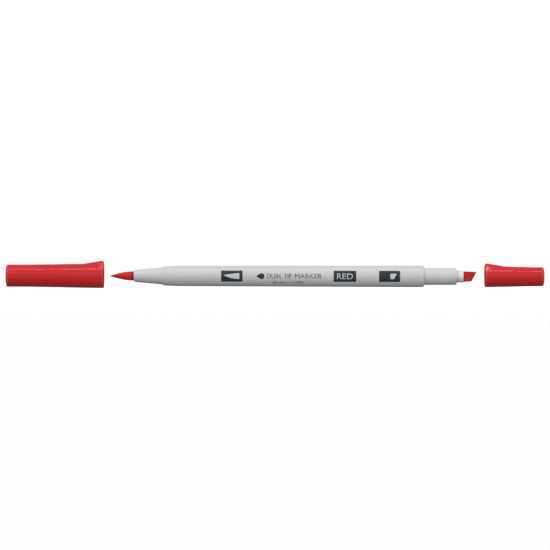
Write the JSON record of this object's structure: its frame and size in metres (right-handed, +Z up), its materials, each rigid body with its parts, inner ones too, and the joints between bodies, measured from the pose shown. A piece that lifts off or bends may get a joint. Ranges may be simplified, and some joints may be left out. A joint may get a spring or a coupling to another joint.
{
  "type": "brush pen",
  "caption": "Slim twin-tip marker with a tapered brush tip at one end, a slanted chisel tip at the other, and a pull-off cap with a roll stop for each tip.",
  "frame": {"origin": "bottom centre of the whole layout, on the surface that the pen and its two caps lie on", "axes": "+X runs along the pen from its brush end to its chisel end, +Z is up, and the caps' roll-stop lugs point up"},
  "size_m": [0.2388, 0.0108, 0.012],
  "materials": {
    "body_plastic": "light cool grey moulded plastic, satin",
    "cap_plastic": "red moulded plastic, soft gloss",
    "holder_plastic": "pale plastic, faintly stained by ink at the tip",
    "liner_plastic": "white soft plastic",
    "nib_fibre": "porous fibre soaked with red ink",
    "reservoir_fibre": "bundled fibre soaked with red ink",
    "wrap_film": "thin clear-white film"
  },
  "bodies": {
    "pen": {"barrel": "body_plastic", "brush_nose": "body_plastic", "brush_nib_holder": "holder_plastic", "brush_nib": "nib_fibre", "chisel_collar": "body_plastic", "chisel_nib_holder": "holder_plastic", "chisel_nib": "nib_fibre", "ink_reservoir": "reservoir_fibre", "reservoir_wrap": "wrap_film"},
    "brush_cap": {"brush_cap_shell": "cap_plastic", "brush_cap_liner": "liner_plastic"},
    "chisel_cap": {"chisel_cap_shell": "cap_plastic", "chisel_cap_liner": "liner_plastic"}
  },
  "joints": [
    {"name": "brush_cap_slide", "type": "slide", "parent": "pen", "child": "brush_cap", "axis": [1, 0, 0], "range_m": [0, 0.0415]},
    {"name": "chisel_cap_slide", "type": "slide", "parent": "pen", "child": "chisel_cap", "axis": [-1, 0, 0], "range_m": [0, 0.0268]}
  ]
}
